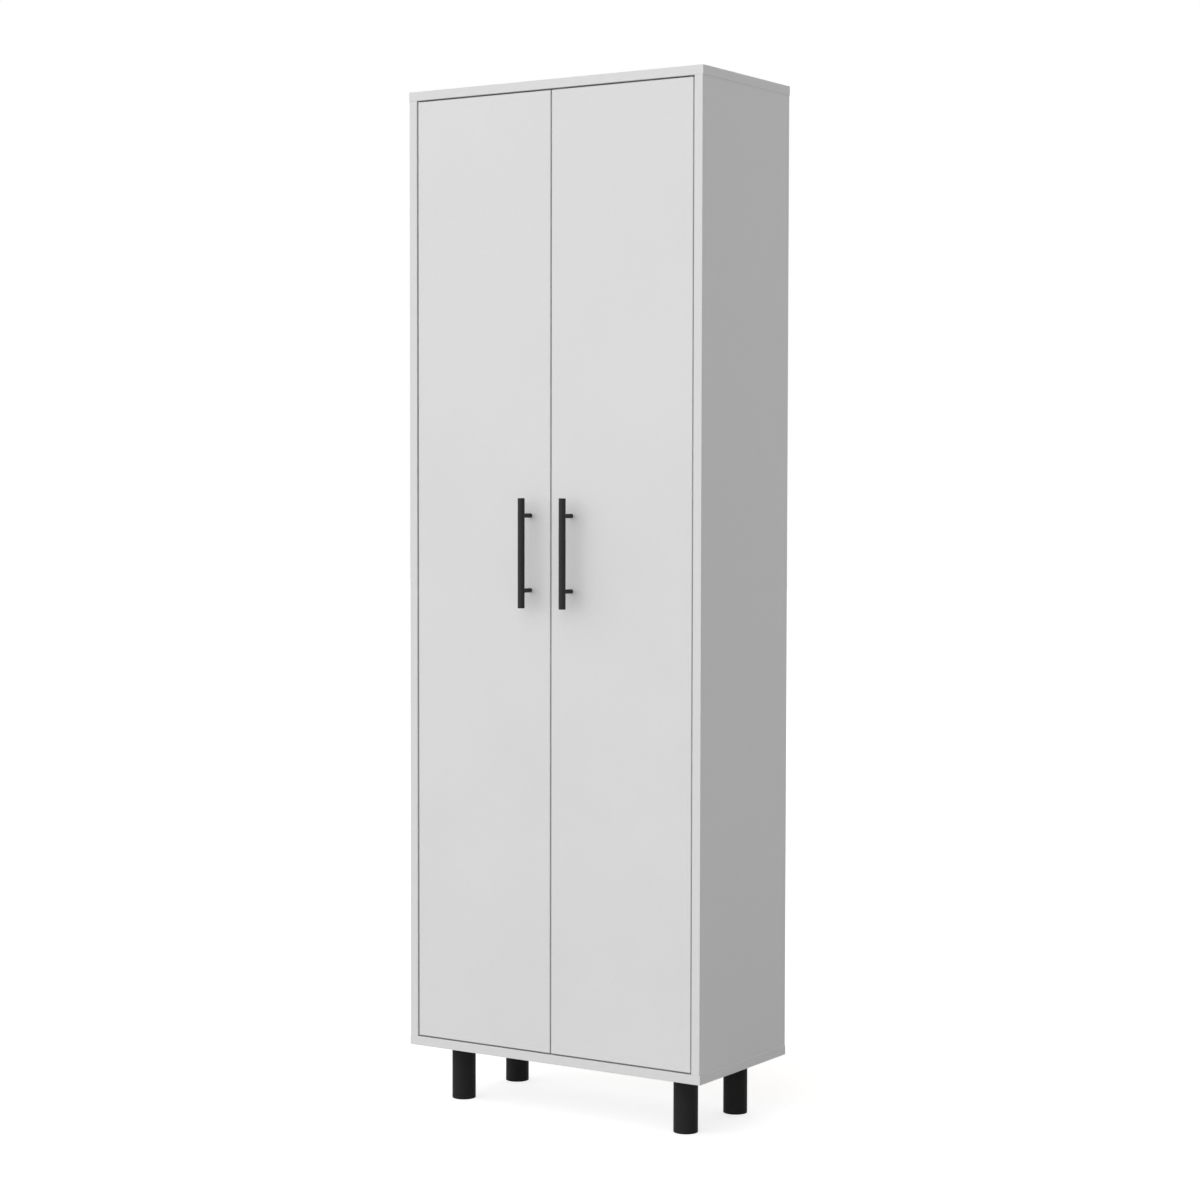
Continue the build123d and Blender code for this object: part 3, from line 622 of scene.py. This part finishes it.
def turned_body(tree, end, radius, section, profile, rings):
    """A body from the point to a place on the axis; the profile pairs shares of its length and radius."""
    index = add(tree, "GeometryNodeInputIndex")
    share = add(tree, "ShaderNodeMath", {0: index, 1: rings - 1.0}, operation="DIVIDE")
    outline = add(tree, "ShaderNodeFloatCurve", {"Value": share})
    mapping = outline.node.mapping
    places = mapping.curves[0].points
    places[0].location = profile[0]
    places[1].location = profile[-1]
    for place in profile[1:-1]:
        places.new(*place)
    for place in places:
        place.handle_type = "VECTOR"
    mapping.update()
    ring = add(tree, "ShaderNodeMath", {0: outline, 1: radius}, operation="MULTIPLY")
    end_point = add(tree, "ShaderNodeCombineXYZ", {"Z": end})
    axis = add(tree, "GeometryNodeCurvePrimitiveLine", {"End": end_point})
    axis = add(tree, "GeometryNodeResampleCurve", {"Curve": axis, "Count": rings})
    skin = {"Curve": axis, "Profile Curve": section, "Scale": ring, "Fill Caps": True}
    return add(tree, "GeometryNodeCurveToMesh", skin)


print("a turned body is a row of rings")

# %% [markdown]
# ### Setting the shape on its points
# Each fitting could be an object of its own, but then a change of shape would have to be made on all of
# them. Here the points are bare vertices that carry the direction in which the fitting goes in. The tree
# turns its shape to that direction, and rolls it by chance with a fixed seed, because no two screws stop
# at the same angle.

# %% Set fittings on points
ROLL_SEED = 7


def set_on_points(tree, given, shapes):
    """Sets the shapes on every point, aimed and rolled, and closes the tree."""
    whole = add(tree, "GeometryNodeJoinGeometry")
    for shape in shapes:
        tree.links.new(shape, whole.node.inputs["Geometry"])
    inward = add(tree, "GeometryNodeInputNamedAttribute", {"Name": "inward"}, data_type="FLOAT_VECTOR")
    aimed = add(tree, "FunctionNodeAlignRotationToVector", {"Vector": inward}, axis="Z")
    chance = add(tree, "FunctionNodeRandomValue", {"Min": 0.0, "Max": 2 * pi, "Seed": ROLL_SEED})
    roll = add(tree, "FunctionNodeAxisAngleToRotation", {"Axis": (0, 0, 1), "Angle": chance})
    both = {"Rotation": aimed, "Rotate By": roll}
    turned = add(tree, "FunctionNodeRotateRotation", both, rotation_space="LOCAL")
    spots = {"Points": given["Points"], "Instance": whole, "Rotation": turned}
    placed = add(tree, "GeometryNodeInstanceOnPoints", spots)
    real = add(tree, "GeometryNodeRealizeInstances", {"Geometry": placed})
    dressed = add(tree, "GeometryNodeSetMaterial", {"Geometry": real, "Material": given["Finish"]})
    add(tree, "NodeGroupOutput", {"Fittings": dressed})


print("rolls are drawn with seed", ROLL_SEED)

# %% [markdown]
# ### Keeping the result as a mesh
# The tree's result is kept as a plain mesh, since an export carries neither instances nor modifiers. The
# mesh rides on the body of the node that it stands for, takes its slot, and is shown in its place.

# %% Keep fittings as a mesh
SHARP_ANGLE = radians(38)  # edges sharper than this keep a crisp line


def keep_as_mesh(piece):
    """Turns what a piece's modifiers make into its plain mesh."""
    evaluated = piece.evaluated_get(bpy.context.evaluated_depsgraph_get())
    plain = bpy.data.meshes.new_from_object(evaluated)
    piece.modifiers.clear()
    piece.data = plain
    return plain


def stand_in(piece, node):
    """The piece rides where the node rides and is shown in its place."""
    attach(piece, body_of[node])
    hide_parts(node)


def grow(tree, name, node, points, directions, sizes):
    """Runs a tree on the points of one node's fittings."""
    cloud = bpy.data.meshes.new(name)
    cloud.from_pydata(points, [], [])
    inward = cloud.attributes.new("inward", "FLOAT_VECTOR", "POINT")
    inward.data.foreach_set("vector", [part for direction in directions for part in direction])
    piece = bpy.data.objects.new(name, cloud)
    scene.collection.objects.link(piece)
    modifier = piece.modifiers.new(tree.name, "NODES")
    modifier.node_group = tree
    given = {"Finish": finishes[slot_of[node]], **sizes}
    for socket in tree.interface.items_tree:
        if socket.name in given:
            modifier[socket.identifier] = given[socket.name]
    grown = keep_as_mesh(piece)
    grown.shade_smooth()
    grown.set_sharp_from_angle(angle=SHARP_ANGLE)
    stand_in(piece, node)
    print(name, len(points), "fittings,", len(grown.polygons), "faces")


print("edges sharper than", round(degrees(SHARP_ANGLE)), "degrees stay crisp")

# %% [markdown]
# ## Cross-recessed screws
# A pan head is low, flat on top and round at the shoulder, and sits on the part it holds. Places along
# the screw are counted from that seat: the head's top lies below zero, the tip above. The shank is
# slimmer than its hole by the depth of the thread, which is a three-sided rib on a helix. Two bars cut
# the cross; half of each bar stands out of the head, so a bar is twice as tall as the recess is deep. A
# bump could fake cross and thread, but the meshes are kept as plain meshes too, so both are real shapes.

# %% The tree of a screw
HEAD_PROFILE = [(0, 1), (0.35, 0.985), (0.6, 0.93), (0.8, 0.82), (0.92, 0.66), (1, 0.42)]
SHANK_PROFILE = [(0, 1), (0.75, 1), (1, 0.1)]
HEAD_RINGS, SHANK_RINGS = 11, 9
ROUND_SIDES, RIB_SIDES, HELIX_STEPS = 24, 3, 12
SCREW_SIZES = (
    "Head radius", "Head top", "Core radius", "Tip", "Thread depth", "Thread length", "Thread turns",
    "Recess span", "Recess width", "Bar height",
)


def screw_tree():
    """A screw with its seat on the point, its head outside and its shank inside."""
    tree, given = new_tree("cross-recessed screws", SCREW_SIZES)
    circle = add(tree, "GeometryNodeCurvePrimitiveCircle", {"Resolution": ROUND_SIDES, "Radius": 1.0})
    head = turned_body(tree, given["Head top"], given["Head radius"], circle, HEAD_PROFILE, HEAD_RINGS)
    shank = turned_body(tree, given["Tip"], given["Core radius"], circle, SHANK_PROFILE, SHANK_RINGS)
    top = add(tree, "ShaderNodeCombineXYZ", {"Z": given["Head top"]})
    cut = add(tree, "GeometryNodeMeshBoolean", {"Mesh 1": head}, operation="DIFFERENCE", solver="EXACT")
    for along, across in ("XY", "YX"):
        sides = {along: given["Recess span"], across: given["Recess width"], "Z": given["Bar height"]}
        bar = add(tree, "GeometryNodeMeshCube", {"Size": add(tree, "ShaderNodeCombineXYZ", sides)})
        bar = add(tree, "GeometryNodeTransform", {"Geometry": bar, "Translation": top})
        tree.links.new(bar, cut.node.inputs["Mesh 2"])
    winding = {
        "Resolution": HELIX_STEPS, "Rotations": given["Thread turns"], "Height": given["Thread length"],
        "Start Radius": given["Core radius"], "End Radius": given["Core radius"],
    }
    helix = add(tree, "GeometryNodeCurveSpiral", winding)
    rib_sizes = {"Resolution": RIB_SIDES, "Radius": given["Thread depth"]}
    rib = add(tree, "GeometryNodeCurvePrimitiveCircle", rib_sizes)
    thread = add(tree, "GeometryNodeCurveToMesh", {"Curve": helix, "Profile Curve": rib, "Fill Caps": True})
    set_on_points(tree, given, (cut, shank, thread))
    return tree


screws = screw_tree()
print("a screw tree of", len(screws.nodes), "nodes and", len(SCREW_SIZES), "sizes")

# %% [markdown]
# ### Every screw in the cabinet
# The frame gives each kind of screw its head and shank. Pitch, depth of thread and the cross are those of
# a small chipboard screw, and they are shared by all. Each kind could have its own, but in the finished
# cabinet only the heads can be seen.

# %% Grow the screws
THREAD_PITCH, THREAD_DEPTH = 1.4 * MM, 0.35 * MM
THREAD_SHARE = 0.82  # the thread runs out before the tip
RECESS_SPAN, RECESS_WIDTH, RECESS_DEPTH = 3.8 * MM, 0.9 * MM, 1.0 * MM

for node in [node for node in nodes if node.endswith("_screws")]:
    sites = sites_of(node)
    first = sites[0]
    head_height = (first.seat - first.top).length
    shank_length = first.length - head_height
    thread_length = THREAD_SHARE * shank_length
    sizes = {
        "Head radius": first.radius, "Head top": -head_height, "Core radius": first.shank - THREAD_DEPTH,
        "Tip": shank_length, "Thread depth": THREAD_DEPTH, "Thread length": thread_length,
        "Thread turns": thread_length / THREAD_PITCH, "Recess span": RECESS_SPAN,
        "Recess width": RECESS_WIDTH, "Bar height": 2 * RECESS_DEPTH,
    }
    seats = [site.seat for site in sites]
    grow(screws, f"{node}_threaded", node, seats, [site.inward for site in sites], sizes)

# %% [markdown]
# ## Pins, nails, caps and dowels
# The other fittings have no cross and no helix. They start on the point and run inwards, and a profile
# drawn for each kind gives the shape: a grooved peg with a slim stem, a nail with a flat head and a
# point, a thin button on a stub, and a dowel with chamfered ends. A profile is drawn to two shares that
# the frame gives: how much of the length is head, and how thick the shank is beside the head.

# %% The profiles
GROOVE_TO_SEAT = 0.1  # share of a pin's length from its groove to its seat


def pin_profile(head, shank):
    """A rounded peg with a groove behind it, and a slimmer stem."""
    groove = head - GROOVE_TO_SEAT
    return [
        (0, 0.8), (0.025, 0.94), (0.05, 1), (groove - 0.05, 1), (groove - 0.025, 0.86), (groove, 0.86),
        (groove + 0.025, 1), (head, 1), (head + 0.02, shank), (0.95, shank), (1, 0.75 * shank),
    ]


def nail_profile(head, shank):
    """A slightly domed head, a thin shank and a point."""
    return [(0, 0.72), (0.6 * head, 1), (head, 1), (1.3 * head, shank), (0.9, shank), (1, 0.1 * shank)]


def cap_profile(head, shank):
    """A thin button with an eased rim, and the stub that plugs it in."""
    rim = [(0, 0.88), (0.4 * head, 0.98), (0.7 * head, 1), (head, 1)]
    return rim + [(1.2 * head, shank), (1, 0.85 * shank)]


def dowel_profile(head, shank):
    """A straight dowel with a chamfer at each end."""
    return [(0, 0.76), (0.06, 1), (0.94, 1), (1, 0.76)]


print("a dowel is drawn as", dowel_profile(0, 1))

# %% [markdown]
# ### Turning them
# The section is a star with many points. With equal radii it is a plain round, and on the dowels its
# inner radius is smaller, which gives the shallow flutes that let air and spare glue out of the hole.
# Rings are even, so a fitting with short features, such as a nail's thin head, needs more of them.

# %% Turn the pins, nails, caps and dowels
SECTION_POINTS = 16


def turn_fittings(node, name, draw_profile, rings, pick_axis=max, flute_depth=0.0):
    """Grows one node's fittings from a profile drawn to their own proportions."""
    sites = sites_of(node, pick_axis)
    first = sites[0]
    tree, given = new_tree(name, ("Length", "Radius", "Root radius"))
    star = {"Points": SECTION_POINTS, "Inner Radius": given["Root radius"], "Outer Radius": 1.0}
    section = add(tree, "GeometryNodeCurveStar", star)
    profile = draw_profile((first.seat - first.top).length / first.length, first.shank / first.radius)
    body = turned_body(tree, given["Length"], given["Radius"], section, profile, rings)
    set_on_points(tree, given, [body])
    sizes = {"Length": first.length, "Radius": first.radius, "Root radius": 1 - flute_depth}
    grow(tree, name, node, [site.top for site in sites], [site.inward for site in sites], sizes)


turn_fittings("shelf_pins", "shelf_pins_turned", pin_profile, rings=41)
turn_fittings("back_nails", "back_nails_turned", nail_profile, rings=53)
turn_fittings("cam_caps", "cam_caps_turned", cap_profile, rings=16, pick_axis=min)
turn_fittings("dowels", "dowels_fluted", dowel_profile, rings=18, flute_depth=0.07)

# %% [markdown]
# ## Eased edges on the pressed fittings
# The hinges, brackets, strikes and catch housings come from the frame with knife edges. A press or a
# mould never leaves one, and it is the small round on an edge that catches a line of light. A bevel node
# or a rounded normal could fake that, but a real bevel also changes the outline. Each node is copied,
# welded, cleared of the lines between flat triangles and bevelled where two faces meet sharply.

# %% Ease the pressed fittings
FLAT = radians(0.5)  # triangles that meet flatter than this are one face
EASE_ANGLE = radians(35)  # edges sharper than this are rounded
EASE_STEPS = 2
EASE_MM = {
    "_hinge_arm": 0.35, "_hinge_plates": 0.35, "_hinge_cups": 0.25, "_strike_plates": 0.25,
    "wall_brackets": 0.4, "magnetic_catches": 0.6, "catch_magnets": 0.3,
}


def eased_copy(node, ease_mm):
    """A welded, bevelled copy of a node that stands in for it."""
    welded = welded_copy(node)
    bmesh.ops.dissolve_limit(welded, angle_limit=FLAT, verts=welded.verts, edges=welded.edges)
    mesh = bpy.data.meshes.new(f"{node}_eased")
    welded.to_mesh(mesh)
    welded.free()
    mesh.shade_smooth()
    mesh.set_sharp_from_angle(angle=SHARP_ANGLE)
    piece = bpy.data.objects.new(mesh.name, mesh)
    scene.collection.objects.link(piece)
    bevel = piece.modifiers.new("eased edges", "BEVEL")
    bevel.width = ease_mm * MM
    bevel.segments = EASE_STEPS
    bevel.limit_method = "ANGLE"
    bevel.angle_limit = EASE_ANGLE
    bevel.harden_normals = True  # keeps the flats flat, and bends the light only on the rounds
    eased = keep_as_mesh(piece)
    eased.materials.clear()
    eased.materials.append(finishes[slot_of[node]])
    stand_in(piece, node)
    return len(eased.polygons)


for ending, ease_mm in EASE_MM.items():
    faces = [eased_copy(node, ease_mm) for node in nodes if node.endswith(ending)]
    print(ending, "eased by", ease_mm, "mm on", len(faces), "nodes,", sum(faces), "faces")

# %% [markdown]
# ## Camera
# The picture was taken from the right of the doors with a longish lens, so uprights stay nearly parallel.
# A constraint could aim the camera, but would say nothing about roll or distance, so its place and turn
# were worked out from the cabinet's own corners: a heading about the upright axis, a slight look down and
# almost no roll.

# %% Camera
CAMERA_PLACE = Vector((2543.0, -3899.5, 1102.9)) * MM
HEADING, LOOK_DOWN, ROLL = radians(32.934), radians(2.563), radians(0.100)
LENS_MM, SENSOR_MM = 80, 36

forward = Vector((-sin(HEADING) * cos(LOOK_DOWN), cos(HEADING) * cos(LOOK_DOWN), -sin(LOOK_DOWN)))
level_right = Vector((cos(HEADING), sin(HEADING), 0))
level_up = level_right.cross(forward)
right = level_right * cos(ROLL) + level_up * sin(ROLL)
up = level_up * cos(ROLL) - level_right * sin(ROLL)
turn = Matrix((right, up, -forward)).transposed().to_4x4()
camera = bpy.data.objects.new("camera", bpy.data.cameras.new("camera"))
camera.data.lens = LENS_MM
camera.data.sensor_width = SENSOR_MM
camera.matrix_world = Matrix.Translation(CAMERA_PLACE) @ turn
scene.collection.objects.link(camera)
scene.camera = camera
print("camera", round(CAMERA_PLACE.length, 2), "m from the cabinet's foot")

# %% [markdown]
# ## Soft light
# A lamp near the cabinet would fade from the top of the doors to the bottom, and the doors are even. So
# the light comes from far away, from a source as wide as a bank of soft boxes: it stands in front and a
# little to the left, makes the doors the brightest faces, and throws the handles' soft shadows to the
# right. A weak one stands behind, so that the back isn't dark when the cabinet is seen from there.

# %% Lamps
def soft_sun(name, from_left, from_above, spread, strength):
    """A distant lamp with soft shadows; its angles, in degrees, are from straight in front of the doors."""
    lamp = bpy.data.lights.new(name, "SUN")
    lamp.angle = radians(spread)
    lamp.energy = strength
    across, above = radians(from_left), radians(from_above)
    towards_lamp = Vector((-sin(across) * cos(above), -cos(across) * cos(above), sin(above)))
    lamp_object = bpy.data.objects.new(name, lamp)
    lamp_object.rotation_euler = towards_lamp.to_track_quat("Z", "Y").to_euler()
    scene.collection.objects.link(lamp_object)
    return lamp_object


soft_sun("key", from_left=24, from_above=18, spread=115, strength=2.9)
soft_sun("back", from_left=165, from_above=25, spread=90, strength=1.0)
print("one wide lamp in front and a weak one behind")

# %% [markdown]
# ## White surroundings
# The surroundings fill the shadows with a low even light, which leaves the right side in a plain grey. A
# white world could give the background too, but it would wash out the shade on the cabinet. So the world
# is white for the camera and in reflections only, and grey for the light that falls on things.

# %% White surroundings
WHITE = [1.0, 1.0, 1.0, 1.0]
AMBIENT = [0.26, 0.26, 0.26, 1.0]  # what lights the cabinet from all around


def seen_directly(tree):
    """1 for rays from the camera, from mirrors and through glass, and 0 for light that falls on things."""
    path = add(tree, "ShaderNodeLightPath").node.outputs
    rays = {0: path["Is Camera Ray"], 1: path["Is Glossy Ray"]}
    pair = add(tree, "ShaderNodeMath", rays, operation="MAXIMUM")
    return add(tree, "ShaderNodeMath", {0: pair, 1: path["Is Transmission Ray"]}, operation="MAXIMUM")


scene.world = bpy.data.worlds.new("white studio")
scene.world.use_nodes = True
sky = scene.world.node_tree
greys = {"Factor": seen_directly(sky), "A": AMBIENT, "B": WHITE}
sky.links.new(add(sky, "ShaderNodeMix", greys, data_type="RGBA"), sky.nodes["Background"].inputs["Color"])
scene.view_settings.view_transform = "Standard"
print("surroundings light the cabinet at", AMBIENT[0], "of white")

# %% [markdown]
# ## Floor
# The floor is pale and takes the cabinet's shadow. Brighter lamps could turn it white, but they would
# bleach the doors, so a little light of its own, which falls on nothing, lifts it to the white of the
# background.

# %% Floor
FLOOR_GREY = linear("#C6C6C6")
FLOOR_LIFT = 0.72  # its own light, as a share of white
FLOOR_HALF = 20.0  # metres from the cabinet to the floor's edge

floor_mesh = bpy.data.meshes.new("floor")
sides = ((-1, -1), (1, -1), (1, 1), (-1, 1))
floor_mesh.from_pydata([(FLOOR_HALF * x, FLOOR_HALF * y, 0) for x, y in sides], [], [range(len(sides))])
floor = bpy.data.objects.new("floor", floor_mesh)
scene.collection.objects.link(floor)
# A rolled paper backdrop: matt, so that it shows a soft shadow and no reflection.
floor_finish, floor_tree, _ = new_finish(
    "pale studio paper", Base_Color=FLOOR_GREY, Roughness=0.9, Specular_IOR_Level=0.0, Emission_Color=WHITE
)
lift = add(floor_tree, "ShaderNodeMath", {0: seen_directly(floor_tree), 1: FLOOR_LIFT}, operation="MULTIPLY")
floor_tree.links.new(lift, floor_tree.nodes["Principled BSDF"].inputs["Emission Strength"])
floor_mesh.materials.append(floor_finish)
print("a floor", 2 * FLOOR_HALF, "m wide")
